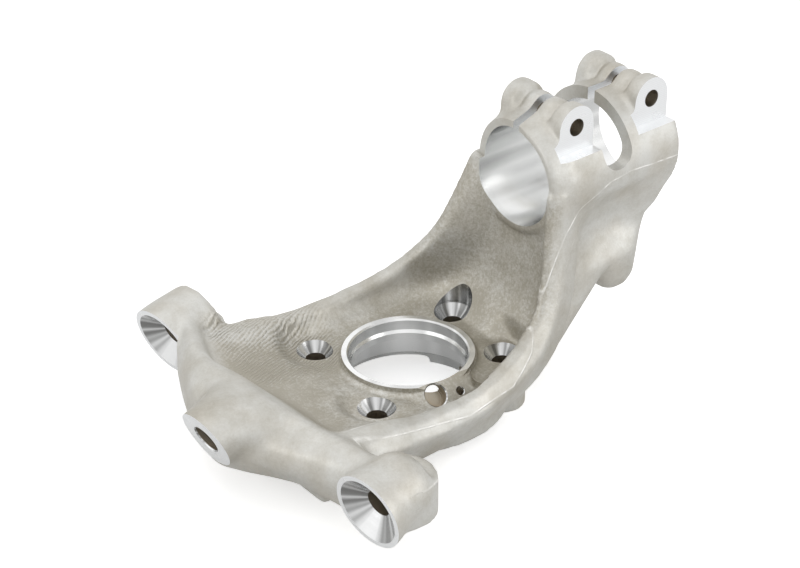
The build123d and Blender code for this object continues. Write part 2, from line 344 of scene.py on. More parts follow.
# camera, in metres and degrees, its lens in millimetres
CAMERA_PLACE = (-0.66088, -0.81959, 0.69541)
CAMERA_TURNS = (59.0315, 0.409, -38.8663)
CAMERA_LENS = 89.345
CAMERA_FILM = 36.0
CAMERA_NEAR = 0.05
CAMERA_FAR = 20.0

# kinds of sockets
VALUE = "NodeSocketFloat"
VECTOR = "NodeSocketVector"
COLOUR = "NodeSocketColor"


def placed(centre, x, z):
    """Place at the centre, from the directions of its x axis and its z axis."""
    place = Matrix((x, z.cross(x), z)).transposed().to_4x4()
    place.translation = Vector(centre)
    return place


def across(x, z, turn):
    """Place of a channel section: its x axis is the part's y, its y axis leaves the open side."""
    a = radians(turn)
    return placed((x, 0, z), Vector((0, 1, 0)), Vector((cos(a), 0, sin(a))))


def into_metal(centre, yaw, tilt):
    """Place on a machined face, its z axis into the metal."""
    b, t = radians(yaw), radians(tilt)
    z = Vector((cos(t) * cos(b), cos(t) * sin(b), sin(t)))
    return placed(centre, Vector((-sin(b), cos(b), 0)), z)


def sensor_place():
    """Place on the sensor pad, its z axis out of the metal."""
    t, w = radians(SENSOR_TILT), radians(SENSOR_YAW)
    z = Vector((sin(t) * sin(w), -sin(t) * cos(w), cos(t)))
    return placed(SENSOR, Vector((cos(w), sin(w), 0)), z)


def along_x(x, y, z):
    """Place with its z axis along the part's x."""
    return placed((x, y, z), Vector((0, 1, 0)), Vector((1, 0, 0)))


def along_y(x, y, z):
    """Place with its z axis along the part's y."""
    return placed((x, y, z), Vector((1, 0, 0)), Vector((0, 1, 0)))


def bolt_centres():
    """Where the bolt holes stand round the hub."""
    turns = [radians(a) for a in BOLT_ANGLES]
    return [(BOLT_PITCH_R * cos(a), BOLT_PITCH_R * sin(a)) for a in turns]


def between(rows, n=ROWS_BETWEEN):
    """The rows with n - 1 smooth rows added in every interval."""
    out = []
    last = len(rows) - 1
    for i in range(last):
        a, b, c, d = rows[max(i - 1, 0)], rows[i], rows[i + 1], rows[min(i + 2, last)]
        for k in range(n):
            t = k / n
            w = (
                (2 * t * t - t - t ** 3) / 2,
                (3 * t ** 3 - 5 * t * t + 2) / 2,
                (4 * t * t - 3 * t ** 3 + t) / 2,
                (t ** 3 - t * t) / 2,
            )
            out.append([w[0] * p + w[1] * q + w[2] * r + w[3] * s for p, q, r, s in zip(a, b, c, d)])
    out.append(list(rows[last]))
    return out


def ring_of(bm, points):
    """A closed loop of edges through the points."""
    verts = [bm.verts.new(p) for p in points]
    return [bm.edges.new((verts[i - 1], verts[i])) for i in range(len(verts))]


def lofted(bm, loops):
    """Skin over closed loops, capped at both ends."""
    rings = [ring_of(bm, points) for points in loops]
    for a, b in zip(rings, rings[1:]):
        bmesh.ops.bridge_loops(bm, edges=a + b)
    bmesh.ops.contextual_create(bm, geom=rings[0])
    bmesh.ops.contextual_create(bm, geom=rings[-1])


def rounded(x0, x1, y0, y1, r):
    """Outline of a rounded rectangle."""
    corners = (
        (x1 - r, y1 - r, 0), (x0 + r, y1 - r, 90), (x0 + r, y0 + r, 180), (x1 - r, y0 + r, 270),
    )
    out = []
    for cx, cy, a0 in corners:
        for k in range(CORNER_STEPS + 1):
            a = radians(a0 + 90 * k / CORNER_STEPS)
            out.append((cx + r * cos(a), cy + r * sin(a)))
    return out


def rod(bm, place, r1, r2, depth, start=0.0):
    """A round bar from the place along its z axis."""
    bmesh.ops.create_cone(
        bm, cap_ends=True, cap_tris=False, segments=ROUND_SIDES, radius1=r1, radius2=r2, depth=depth,
        matrix=place @ Matrix.Translation((0, 0, start + depth / 2)),
    )


def block(bm, place, *spans):
    """A block at the place, from its span along x, along y and along z."""
    middle = Matrix.Translation([(low + high) / 2 for low, high in spans])
    size = Matrix.Diagonal([high - low for low, high in spans] + [1])
    bmesh.ops.create_cube(bm, size=1, matrix=place @ middle @ size)


def flowing(bm, place, sections):
    """A bar of oval sections along the z axis of the place: depth, half width, half height, shift."""
    turns = [radians(360 * k / FLOW_SIDES) for k in range(FLOW_SIDES)]
    loops = []
    for depth, wide, high, shift in between(sections):
        loops.append([place @ Vector((wide * cos(a), shift + high * sin(a), depth)) for a in turns])
    lofted(bm, loops)


def valley_curve(v):
    """The hollow of one section, from the rear crest over the floor to the front crest."""
    middle = 0.5 * (v[2] + v[3])
    knots = [(v[4], v[5]), (v[3], VALLEY_RISE), (middle, 0.0), (v[2], VALLEY_RISE), (v[0], v[1])]
    return [tuple(p) for p in between(knots, VALLEY_ROWS)]


def channel_blank(bm):
    """The long channel, from its end at the bar, round the hub and up behind the clamp."""
    loops = []
    for s, f, r, v in zip(*[between(table) for table in (STATIONS, FRONT, REAR, VALLEY)]):
        outline = [(f[4], f[5]), (f[2], f[3]), (f[0], f[1]), (r[0], r[1]), (r[2], r[3]), (r[4], r[5])]
        outline += valley_curve(v)
        place = across(*s)
        loops.append([place @ Vector((p[0], p[1], 0)) for p in outline])
    lofted(bm, loops)


def leg_blank(bm):
    """The leg under the clamp and the nose on its front, as rounded sections one above the other."""
    for table in (LEG, NOSE):
        loops = []
        for z, x0, x1, y0, y1, r in table:
            loops.append([Vector((x, y, z)) for x, y in rounded(x0, x1, y0, y1, r)])
        lofted(bm, loops)


def bar_blank(bm):
    """The bar between the eyes."""
    lofted(bm, [[Vector((x, row[0], z)) for x, z in zip(row[1::2], row[2::2])] for row in between(BAR)])


def hub_blank(bm):
    """The plate under the hub, the hub's wall, the bolt bosses and the sensor pad."""
    up = Matrix.Identity(4)
    rod(bm, up, PLATE_R0, PLATE_R1, PLATE_Z1 - PLATE_Z0, start=PLATE_Z0)
    wall_r = RIM_R + RIM_STOCK
    rod(bm, up, wall_r, wall_r, HUB_TOP + HUB_STOCK - RING_FACE, start=RING_FACE)
    for x, y in bolt_centres():
        boss = Matrix.Translation((x, y, 0))
        rod(bm, boss, BOLT_BOSS_R, BOLT_BOSS_R, BOLT_SEAT + STOCK, start=-STOCK)
    block(bm, sensor_place(), SENSOR_PAD_X, SENSOR_PAD_Y, (-SENSOR_PAD_L, STOCK))


def clamp_blank(bm):
    """The clamp as one thick tube, with the ears of both collars."""
    rod(bm, along_x(CLAMP_X0, CLAMP_Y, CLAMP_Z), CLAMP_NECK_R, CLAMP_OUT_R, CLAMP_NECK_L)
    tube_x0 = CLAMP_X0 + CLAMP_NECK_L
    tube = along_x(tube_x0, CLAMP_Y, CLAMP_Z)
    rod(bm, tube, CLAMP_OUT_R, CLAMP_OUT_R, CLAMP_X1 + STOCK - tube_x0)
    foot_y = (EAR_LANDS[0][0], EAR_BACK_Y + STOCK)
    for x1 in (GAP_X0, CLAMP_X1):
        for y0, y1, r in EAR_LANDS:
            rod(bm, along_y(x1 - EAR_R, y0, EAR_BOLT_Z), r, r, y1 - y0)
        block(bm, Matrix.Identity(4), (x1 - 2 * EAR_R, x1), foot_y, (EAR_FOOT_Z, EAR_NECK_Z))


def joint_blank(bm):
    """Both eyes, the steering boss and the upright ends of the bar."""
    for eye, flow in ((RIGHT_EYE, RIGHT_EYE_FLOW), (LEFT_EYE, LEFT_EYE_FLOW)):
        flowing(bm, into_metal(*eye), [(depth, r, r, 0) for depth, r in flow])
    flowing(bm, into_metal(*STEERING_BOSS), BOSS_FLOW)
    for x, y, r, z0, z1 in HEELS:
        rod(bm, Matrix.Translation((x, y, 0)), r, r, z1 - z0, start=z0)


def blank():
    """The forging before it is machined, with stock on every face that will be milled."""
    bm = bmesh.new()
    channel_blank(bm)
    leg_blank(bm)
    bar_blank(bm)
    hub_blank(bm)
    clamp_blank(bm)
    joint_blank(bm)
    bmesh.ops.recalc_face_normals(bm, faces=bm.faces)
    return bm


def as_object(name, bm):
    """A finished piece from a bmesh in millimetres, its heights counted from the boss faces."""
    bmesh.ops.translate(bm, vec=(0, 0, -SHOULDER), verts=bm.verts)
    bmesh.ops.scale(bm, vec=(MM, MM, MM), verts=bm.verts)
    mesh = bpy.data.meshes.new(name)
    bm.to_mesh(mesh)
    bm.free()
    piece = bpy.data.objects.new(name, mesh)
    bpy.context.scene.collection.objects.link(piece)
    return piece


def settle(piece):
    """Applies the piece's modifiers to its mesh."""
    graph = bpy.context.evaluated_depsgraph_get()
    mesh = bpy.data.meshes.new_from_object(piece.evaluated_get(graph))
    piece.modifiers.clear()
    old = piece.data
    piece.data = mesh
    bpy.data.meshes.remove(old)


def unwrap_turned(bm):
    """Turning coordinates: u in turns round the z axis, v in metres along the profile."""
    layer = bm.loops.layers.uv.new("UVMap")
    for face in bm.faces:
        spots = [loop.vert.co for loop in face.loops]
        turns = [(p.to_2d().angle_signed(Vector((1, 0)), 0.0) / (2 * pi)) % 1.0 for p in spots]
        if max(turns) - min(turns) > 0.5:
            turns = [t + 1 if t < 0.5 else t for t in turns]
        for loop, p, t in zip(face.loops, spots, turns):
            loop[layer].uv = (t, (p.to_2d().length + p.z) * MM)


def turned_cut(name, place, profile, finish=TURNED, flat_finish=None, sides=ROUND_SIDES, drill_r=0.0):
    """A cutter turned from a profile of radius and height points, closed at its ends on the axis.

    What lies within the drill's radius gets the drilled finish. Where a flat finish is given, the
    face at height zero gets it, and what the tool clears in front of it stays as forged.
    """
    bm = bmesh.new()
    verts = [bm.verts.new((r, 0, z)) for r, z in profile]
    edges = [bm.edges.new(pair) for pair in zip(verts, verts[1:])]
    bmesh.ops.spin(
        bm, geom=verts + edges, cent=(0, 0, 0), axis=(0, 0, 1), angle=2 * pi, steps=sides, use_merge=True
    )
    bmesh.ops.remove_doubles(bm, verts=bm.verts, dist=MERGE)
    bmesh.ops.recalc_face_normals(bm, faces=bm.faces)
    unwrap_turned(bm)
    for face in bm.faces:
        face.material_index = finish
        if flat_finish is not None and min(v.co.z for v in face.verts) < -TOUCH:
            face.material_index = FORGED
        elif flat_finish is not None and max(v.co.z for v in face.verts) < TOUCH:
            face.material_index = flat_finish
        if all(v.co.to_2d().length < drill_r + TOUCH for v in face.verts):
            face.material_index = DRILLED
    bmesh.ops.transform(bm, matrix=place, verts=bm.verts)
    return as_object(name, bm)


def milled_cut(name, place, *spans, finish=MILLED):
    """A block cutter from its span along x, along y and along z, with one finish on its faces."""
    bm = bmesh.new()
    block(bm, Matrix.Identity(4), *spans)
    layer = bm.loops.layers.uv.new("UVMap")
    for face in bm.faces:
        face.material_index = finish
        flat = [i for i in range(3) if abs(face.normal[i]) < 0.5]
        for loop in face.loops:
            loop[layer].uv = (loop.vert.co[flat[0]] * MM, loop.vert.co[flat[1]] * MM)
    bmesh.ops.transform(bm, matrix=place, verts=bm.verts)
    return as_object(name, bm)


def gap_cut(name):
    """Cutter for the gap between the collars, with its round floor."""
    bm = bmesh.new()
    middle = (GAP_X0 + GAP_X1) / 2
    r = (GAP_X1 - GAP_X0) / 2
    points = [(GAP_X0, GAP_TOOL_Z)]
    for k in range(GAP_STEPS + 1):
        a = radians(180 + 180 * k / GAP_STEPS)
        points.append((middle + r * cos(a), GAP_FLOOR + r + r * sin(a)))
    points.append((GAP_X1, GAP_TOOL_Z))
    lofted(bm, [[Vector((x, y, z)) for x, z in points] for y in GAP_TOOL_Y])
    bmesh.ops.recalc_face_normals(bm, faces=bm.faces)
    layer = bm.loops.layers.uv.new("UVMap")
    for face in bm.faces:
        face.material_index = FORGED
        for loop in face.loops:
            loop[layer].uv = (loop.vert.co.y * MM, loop.vert.co.z * MM)
    return as_object(name, bm)


def hub_tools():
    """Tools for the hub's bore and rim, the side of the rim, and the boss faces."""
    still = Matrix.Identity(4)
    bore = (
        (0, HUB_TOOL_Z), (HUB_TOOL_R, HUB_TOOL_Z), (HUB_TOOL_R, MOUTH_Z), (MOUTH_R, MOUTH_Z),
        (THROAT_R, RING_FACE), (BEARING_R, RING_FACE + BEARING_LEAD), (BEARING_R, SHOULDER),
        (LAND_R, SHOULDER), (LAND_R, SHOULDER + LAND_L), (HUB_R, HUB_TOP - RIM_BORE_L),
        (HUB_R, HUB_TOP - RIM_EDGE), (HUB_R + RIM_EDGE, HUB_TOP), (RIM_TOOL_R, HUB_TOP),
        (RIM_TOOL_R, RIM_TOOL_Z), (0, RIM_TOOL_Z),
    )
    side = (
        (RIM_SIDE_R, RIM_SIDE_Z), (RIM_SIDE_OUT_R, RIM_SIDE_Z), (RIM_SIDE_OUT_R, RIM_TOOL_Z),
        (RIM_SIDE_R, RIM_TOOL_Z), (RIM_SIDE_R, RIM_SIDE_Z),
    )
    base = (-BASE_TOOL_X, BASE_TOOL_X)
    return [
        turned_cut("cut_hub", still, bore, finish=BORED, sides=BORE_SIDES),
        turned_cut("cut_rim_side", still, side, finish=FORGED, sides=BORE_SIDES),
        milled_cut("cut_boss_faces", still, base, base, (-BASE_TOOL_L, 0)),
    ]


def bolt_tools():
    """One tool for each bolt hole with its seat."""
    top = BOLT_CONE[-1][1]
    profile = ((0, BOLT_TOOL_Z), (BOLT_R, BOLT_TOOL_Z), (BOLT_R, BOLT_SEAT), *BOLT_CONE, (0, top))
    tools = []
    for i, (x, y) in enumerate(bolt_centres()):
        place = Matrix.Translation((x, y, 0))
        tools.append(turned_cut(f"cut_bolt_{i}", place, profile, drill_r=BOLT_R))
    return tools


def joint_tools():
    """Tools for the tapered eyes and for the steering boss."""
    eye = (
        (0, -EYE_TOOL_L), (EYE_CLEAR_R, -EYE_TOOL_L), (EYE_CLEAR_R, 0), (EYE_MOUTH_R, 0),
        (EYE_HOLE_R, EYE_CONE_L), (EYE_HOLE_R, EYE_HOLE_L), (0, EYE_HOLE_L),
    )
    boss = (
        (0, -EYE_TOOL_L), (BOSS_CLEAR_R, -EYE_TOOL_L), (BOSS_CLEAR_R, 0), (BOSS_MOUTH_R, 0),
        (BOSS_HOLE_R, BOSS_EDGE), (BOSS_HOLE_R, BOSS_HOLE_L), (0, BOSS_HOLE_L),
    )
    tools = []
    for name, spot, profile, drill_r in (
        ("cut_right_eye", RIGHT_EYE, eye, EYE_HOLE_R),
        ("cut_left_eye", LEFT_EYE, eye, EYE_HOLE_R),
        ("cut_steering_boss", STEERING_BOSS, boss, BOSS_HOLE_R),
    ):
        place = into_metal(*spot)
        tools.append(turned_cut(name, place, profile, flat_finish=MILLED, drill_r=drill_r))
    return tools


def sensor_tools():
    """Tools for the face of the sensor pad, the sensor's bore and its screw hole."""
    pad = sensor_place()
    pad_x, pad_y = ((a - PAD_TOOL_SIDE, b + PAD_TOOL_SIDE) for a, b in (SENSOR_PAD_X, SENSOR_PAD_Y))
    mouth_r = SENSOR_R + SENSOR_EDGE
    bore = (
        (0, -SENSOR_L), (SENSOR_END_R, -SENSOR_L), (SENSOR_END_R, -SENSOR_STEP_L),
        (SENSOR_R, -SENSOR_STEP_L), (SENSOR_R, -SENSOR_EDGE), (mouth_r, 0), (mouth_r, SENSOR_TOOL_L),
        (0, SENSOR_TOOL_L),
    )
    screw_mouth_r = SCREW_R + SCREW_EDGE
    screw = (
        (0, -SCREW_L), (SCREW_R, -SCREW_L), (SCREW_R, -SCREW_EDGE), (screw_mouth_r, 0),
        (screw_mouth_r, SENSOR_TOOL_L), (0, SENSOR_TOOL_L),
    )
    screw_place = pad @ Matrix.Translation((SCREW_X, SCREW_Y, 0))
    return [
        milled_cut("cut_pad", pad, pad_x, pad_y, (0, PAD_TOOL_L), finish=FORGED),
        turned_cut("cut_sensor", pad, bore, drill_r=SENSOR_R),
        turned_cut("cut_screw", screw_place, screw, sides=SCREW_SIDES, drill_r=SCREW_R),
    ]


def clamp_tools():
    """Tools for the clamp's bore, its slit, its gap and the end of its near collar."""
    bore = (
        (0, CLAMP_BORE_X0), (CLAMP_R, CLAMP_BORE_X0), (CLAMP_R, CLAMP_X1), (CLAMP_TOOL_R, CLAMP_X1),
        (CLAMP_TOOL_R, CLAMP_X1 + CLAMP_TOOL_L), (0, CLAMP_X1 + CLAMP_TOOL_L),
    )
    slit_y = (CLAMP_Y - SLIT_W / 2, CLAMP_Y + SLIT_W / 2)
    turn = Matrix.Rotation(radians(COLLAR_END_TURN), 4, "Z")
    mouth = Matrix.Translation((COLLAR_END_X, CLAMP_Y, CLAMP_Z)) @ turn
    mouth_spans = ((-COLLAR_TOOL_X, 0), (-COLLAR_TOOL_Y, COLLAR_TOOL_Y), (0, COLLAR_TOOL_Z))
    return [
        turned_cut("cut_clamp", along_x(0, CLAMP_Y, CLAMP_Z), bore, finish=BORED, sides=BORE_SIDES),
        milled_cut("cut_slit", Matrix.Identity(4), SLIT_TOOL_X, slit_y, (CLAMP_Z, SLIT_TOOL_Z)),
        gap_cut("cut_gap"),
        milled_cut("cut_mouth", mouth, *mouth_spans, finish=FORGED),
    ]


def ear_tools():
    """Tools for the faces of both ears, front and back, and for the pinch bolts."""
    still = Matrix.Identity(4)
    front_y, back_y = EAR_TOOL_Y
    pinch = ((0, 0), (EAR_BOLT_R, 0), (EAR_BOLT_R, PINCH_TOOL_L), (0, PINCH_TOOL_L))
    tools = []
    for i, x1 in enumerate((GAP_X0, CLAMP_X1)):
        x = x1 - EAR_R
        wide = (x - EAR_TOOL_X, x + EAR_TOOL_X)
        face = (wide, (front_y, EAR_FACE_Y), (EAR_STEP_Z, EAR_TOOL_Z))
        back = (wide, (EAR_BACK_Y, back_y), (EAR_BACK_Z, EAR_TOOL_Z))
        place = along_y(x, PINCH_TOOL_Y, EAR_BOLT_Z)
        tools.append(milled_cut(f"cut_ear_{i}", still, *face))
        tools.append(milled_cut(f"cut_ear_back_{i}", still, *back))
        tools.append(turned_cut(f"cut_pinch_{i}", place, pinch, sides=PINCH_SIDES, drill_r=EAR_BOLT_R))
    return tools


def eased(value, low, high):
    """A smooth step from 0 at low to 1 at high."""
    t = min(max((value - low) / (high - low), 0.0), 1.0)
    return t * t * (3 - 2 * t)


def band(value, rise, fall):
    """1 between the rise and the fall, each eased over its own two limits, and 0 outside them."""
    return eased(value, *rise) * (1 - eased(value, *fall))


def in_mm(co):
    """A mesh point in millimetres, its height counted from the boss faces."""
    return co.x / MM, co.y / MM, co.z / MM + SHOULDER


def pressed(piece):
    """Forms that the dies press in: flats about three bolt seats and the hub, scoop in the leg."""
    seats = bolt_centres()[1:]
    for vert in piece.data.vertices:
        x, y, z = in_mm(vert.co)
        out = hypot(x, y)
        if out > RIM_R + PRESS_CLEAR and PAD_Z < z < PAD_TOP:
            for seat_x, seat_y in seats:
                flat = 1 - eased(hypot(x - seat_x, y - seat_y), *PAD_FADE)
                vert.co.z -= (z - PAD_Z) * flat * MM
        if out > RIM_R + PRESS_CLEAR and FLOOR_Z < z < FLOOR_TOP:
            vert.co.z -= (z - FLOOR_Z) * (1 - eased(out, *FLOOR_FADE)) * MM
        reach = (1 - eased(abs(x - SCOOP_X), *SCOOP_X_FADE)) * (1 - eased(abs(z - SCOOP_Z), *SCOOP_Z_FADE))
        vert.co.y += SCOOP_DEPTH * reach * eased(-y, *SCOOP_Y_FADE) * MM


def softened(piece):
    """Rounds the skin, and more so the side of the bar."""
    bar_side = piece.vertex_groups.new(name="bar_side")
    for vert in piece.data.vertices:
        share = eased(-vert.co.x / MM, *BAR_SIDE)
        if share > 0:
            bar_side.add([vert.index], share, "REPLACE")
    soft = piece.modifiers.new("soft", "SMOOTH")
    soft.factor = SOFT_SHARE
    soft.iterations = SOFT_PASSES
    flow = piece.modifiers.new("flow", "SMOOTH")
    flow.factor = SOFT_SHARE
    flow.iterations = FLOW_PASSES
    flow.vertex_group = "bar_side"
    settle(piece)
    piece.vertex_groups.clear()


def forging():
    """The knuckle before machining: a blank given one skin, pressed and softened."""
    piece = as_object("knuckle_forging", blank())
    skin = piece.modifiers.new("skin", "REMESH")
    skin.mode = "VOXEL"
    skin.voxel_size = SKIN_CELL * MM
    settle(piece)
    pressed(piece)
    softened(piece)
    return piece


def machine(piece):
    """Cuts the piece with every tool, then clears the tools away."""
    tools = hub_tools() + bolt_tools() + joint_tools() + sensor_tools() + clamp_tools() + ear_tools()
    shop = bpy.data.collections.new("tools")
    for tool in tools:
        shop.objects.link(tool)
    cut = piece.modifiers.new("cut", "BOOLEAN")
    cut.operation = "DIFFERENCE"
    cut.operand_type = "COLLECTION"
    cut.collection = shop
    cut.solver = "EXACT"
    cut.use_self = False
    settle(piece)
    for tool in tools:
        mesh = tool.data
        bpy.data.objects.remove(tool)
        bpy.data.meshes.remove(mesh)
    bpy.data.collections.remove(shop)


def crisp(piece):
    """Smooth skin, with sharp edges round and between the machined faces."""
    bm = bmesh.new()
    bm.from_mesh(piece.data)
    for face in bm.faces:
        face.smooth = True
    for edge in bm.edges:
        if len(edge.link_faces) != 2:
            continue
        sides = {face.material_index for face in edge.link_faces}
        limit = FORGED_CREASE if sides == {FORGED} else CUT_CREASE
        edge.smooth = edge.calc_face_angle() < radians(limit)
    bm.to_mesh(piece.data)
    bm.free()


def marked(piece, name, rule):
    """A value at each point of the piece for its material, from the point and its normal."""
    values = [rule(*in_mm(vert.co), vert.normal) for vert in piece.data.vertices]
    layer = piece.data.attributes.new(name, "FLOAT", "POINT")
    layer.data.foreach_set("value", values)


def hollow_shade_of(x, y, z, normal):
    """How much a point lies inside the channel, where the skin is painted darker as shade."""
    open_side = normal.z if x < CHANNEL_TURN_X else max(normal.z, -normal.x)
    inside = band(y, *HOLLOW_Y) * band(x, *HOLLOW_X) * (1 - eased(z, *HOLLOW_TOP))
    foot = (1 - eased(x, *FOOT_X)) * band(y, *FOOT_Y)
    return inside * eased(open_side, *HOLLOW_OPEN) * (1 + FOOT_MORE * foot)


def cusps_of(x, y, z, normal):
    """Where rows of cutter marks show on the channel's inside near the left eye."""
    inside = band(x, *ROWS_X) * eased(y, *ROWS_Y) * (1 - eased(z, *ROWS_TOP))
    return inside * eased(normal.z, *ROWS_OPEN)


def above_parting(x, y, z, normal):
    """Signed distance in millimetres over the parting line on the front side."""
    beside_pad = PARTING_PAD_X[0] < x < PARTING_PAD_X[1] and y > PARTING_PAD_Y
    if y > PARTING_Y or beside_pad:
        return PARTING_FAR
    best = PARTING_FAR
    for (x0, z0), (x1, z1) in zip(PARTING, PARTING[1:]):
        dx, dz = x1 - x0, z1 - z0
        t = min(max(((x - x0) * dx + (z - z0) * dz) / (dx * dx + dz * dz), 0.0), 1.0)
        off = hypot(x - x0 - t * dx, z - z0 - t * dz)
        if off < abs(best):
            best = off if dx * (z - z0) - dz * (x - x0) > 0 else -off
    return best


def node(tree, kind, values=None, **settings):
    """A node with its settings, and constants on its own sockets."""
    made = tree.nodes.new(kind)
    for key, value in settings.items():
        setattr(made, key, value)
    for key, value in (values or {}).items():
        made.inputs[key].default_value = value
    return made


def fed(tree, socket, source):
    """Links a source to a socket, or sets a number or a colour on it."""
    if isinstance(source, tuple):
        socket.default_value = (*source, 1)
    elif isinstance(source, (int, float)):
        socket.default_value = source
    else:
        tree.links.new(source, socket)


def maths(tree, operation, a, b=0.0, clamp=False):
    """One operation on two values, each a socket or a number."""
    made = node(tree, "ShaderNodeMath", operation=operation, use_clamp=clamp)
    fed(tree, made.inputs[0], a)
    fed(tree, made.inputs[1], b)
    return made.outputs[0]


def remap(tree, value, span, to):
    """The value moved from one span to another, and held within it."""
    ends = {"From Min": span[0], "From Max": span[1], "To Min": to[0], "To Max": to[1]}
    made = node(tree, "ShaderNodeMapRange", ends)
    tree.links.new(value, made.inputs["Value"])
    return made.outputs["Result"]


def mixed(tree, factor, a, b):
    """Mix of two colours, each a socket or a tuple."""
    made = node(tree, "ShaderNodeMix", data_type="RGBA")
    # the sockets for colours share their names with others, so they are taken by number
    for number, source in ((0, factor), (6, a), (7, b)):
        fed(tree, made.inputs[number], source)
    return made.outputs[2]


def noise(tree, place, scale, detail):
    """Cloudy pattern of the given scale."""
    made = node(tree, "ShaderNodeTexNoise", {"Scale": scale, "Detail": detail})
    tree.links.new(place, made.inputs["Vector"])
    return made.outputs["Fac"]


def noise_along(tree, value, scale):
    """Cloudy pattern along one value."""
    made = node(tree, "ShaderNodeTexNoise", {"Scale": scale, "Detail": 2.0}, noise_dimensions="1D")
    tree.links.new(value, made.inputs["W"])
    return made.outputs["Fac"]


def mapped(tree, place, **values):
    """The place moved or turned."""
    made = node(tree, "ShaderNodeMapping", values)
    tree.links.new(place, made.inputs["Vector"])
    return made.outputs["Vector"]


def wave(tree, place, values, **settings):
    """A pattern of bands or rings."""
    made = node(tree, "ShaderNodeTexWave", values, **settings)
    tree.links.new(place, made.inputs["Vector"])
    return made.outputs["Fac"]


def new_group(name, inputs, outputs):
    """An empty shader group with its named sockets, and its two end nodes."""
    tree = bpy.data.node_groups.new(name, "ShaderNodeTree")
    for in_out, sockets in (("INPUT", inputs), ("OUTPUT", outputs)):
        for label, kind in sockets.items():
            tree.interface.new_socket(name=label, in_out=in_out, socket_type=kind)
    return tree, node(tree, "NodeGroupInput"), node(tree, "NodeGroupOutput")


def forged_tone():
    """Mottled colour, roughness and grain of blasted forging skin, with painted shade in its hollows and a
    painted highlight along the parting line.
    """
    tree, start, end = new_group(
        "forged_tone",
        {"Place": VECTOR, "Hollow_Shade": VALUE, "Line": VALUE},
        {"Colour": COLOUR, "Roughness": VALUE, "Height": VALUE},
    )
    place = start.outputs["Place"]
    hollow = start.outputs["Hollow_Shade"]
    cloud = noise(tree, place, scale=17, detail=2)
    patch = noise(tree, place, scale=75, detail=4)
    fleck = noise(tree, place, scale=420, detail=2)
    grain = noise(tree, place, scale=900, detail=2)
    # painted shade of the hollows is added to the skin's own darker tone
    dark = maths(tree, "ADD", maths(tree, "MULTIPLY", hollow, HOLLOW_SHADE), SKIN_DARK)
    dark = maths(tree, "ADD", dark, remap(tree, cloud, (0.3, 0.7), (-0.2, 0.24)))
    dark = maths(tree, "ADD", dark, remap(tree, patch, (0.25, 0.75), (-0.18, 0.24)))
    flecks = remap(tree, fleck, (0.36, 0.64), (-0.2, 0.2))
    grains = remap(tree, grain, (0.36, 0.64), (-0.2, 0.2))
    fine = maths(tree, "ADD", flecks, grains)
    fine = maths(tree, "MULTIPLY", fine, remap(tree, hollow, (0.0, 1.0), (0.3, 1.0)))
    dark = maths(tree, "ADD", dark, fine, clamp=True)
    tint = remap(tree, noise(tree, place, scale=34, detail=2), (0.45, 0.75), (0.0, 0.55))
    skin = mixed(tree, dark, mixed(tree, tint, FORGED_LIGHT, FORGED_WARM), FORGED_DARK_AND_SHADE)
    height = maths(tree, "MULTIPLY", grain, 0.55)
    height = maths(tree, "ADD", height, maths(tree, "MULTIPLY", fleck, 0.45))
    # the painted highlight of the parting ridge is mixed over the skin
    fed(tree, end.inputs["Colour"], mixed(tree, start.outputs["Line"], skin, FORGED_LINE_HIGHLIGHT))
    fed(tree, end.inputs["Roughness"], remap(tree, patch, (0.2, 0.8), (0.44, 0.6)))
    fed(tree, end.inputs["Height"], height)
    return tree


def cutter_rows():
    """Height of the scalloped rows that a ball cutter leaves."""
    tree, start, end = new_group("cutter_rows", {"Place": VECTOR, "Amount": VALUE}, {"Height": VALUE})
    turned = mapped(tree, start.outputs["Place"], Rotation=(0.0, 0.0, radians(ROWS_TURN)))
    rows = wave(tree, turned, {"Scale": 150.0, "Distortion": 5.0, "Detail": 2.0, "Detail Scale": 0.6})
    dots = node(tree, "ShaderNodeTexVoronoi", {"Scale": 520.0})
    tree.links.new(turned, dots.inputs["Vector"])
    height = maths(tree, "ADD", rows, maths(tree, "MULTIPLY", dots.outputs["Distance"], 0.8))
    fed(tree, end.inputs["Height"], maths(tree, "MULTIPLY", height, start.outputs["Amount"]))
    return tree


def lathe_marks():
    """Fine rings along a turned profile, and bands round its axis that the metals paint as reflections."""
    tree, start, end = new_group(
        "lathe_marks",
        {"Turn": VECTOR, "Pitch": VALUE},
        {"Height": VALUE, "Roughness": VALUE, "Streak": VALUE},
    )
    parts = node(tree, "ShaderNodeSeparateXYZ")
    tree.links.new(start.outputs["Turn"], parts.inputs[0])
    along = maths(tree, "DIVIDE", parts.outputs["Y"], start.outputs["Pitch"])
    rings = noise_along(tree, along, scale=1.0)
    fed(tree, end.inputs["Height"], rings)
    fed(tree, end.inputs["Roughness"], remap(tree, rings, (0.3, 0.7), (0.0, 0.08)))
    fed(tree, end.inputs["Streak"], noise_along(tree, parts.outputs["X"], scale=7.0))
    return tree


def mill_marks():
    """Overlapping arcs of a face mill."""
    tree, start, end = new_group("mill_marks", {"Place": VECTOR}, {"Height": VALUE, "Roughness": VALUE})
    place = start.outputs["Place"]
    shifted = mapped(tree, place, Location=(0.05, -0.03, 0.0))
    arcs = wave(tree, shifted, {"Scale": 240.0, "Distortion": 0.6, "Detail": 1.0}, wave_type="RINGS")
    cloud = noise(tree, place, scale=60, detail=3)
    fed(tree, end.inputs["Height"], arcs)
    fed(tree, end.inputs["Roughness"], remap(tree, cloud, (0.3, 0.7), (0.0, 0.1)))
    return tree


def metal(name, roughness):
    """A metal material, its tree and its shader."""
    mat = bpy.data.materials.new(name)
    mat.use_nodes = True
    shader = mat.node_tree.nodes["Principled BSDF"]
    shader.inputs["Metallic"].default_value = 1.0
    shader.inputs["Roughness"].default_value = roughness
    return mat, mat.node_tree, shader


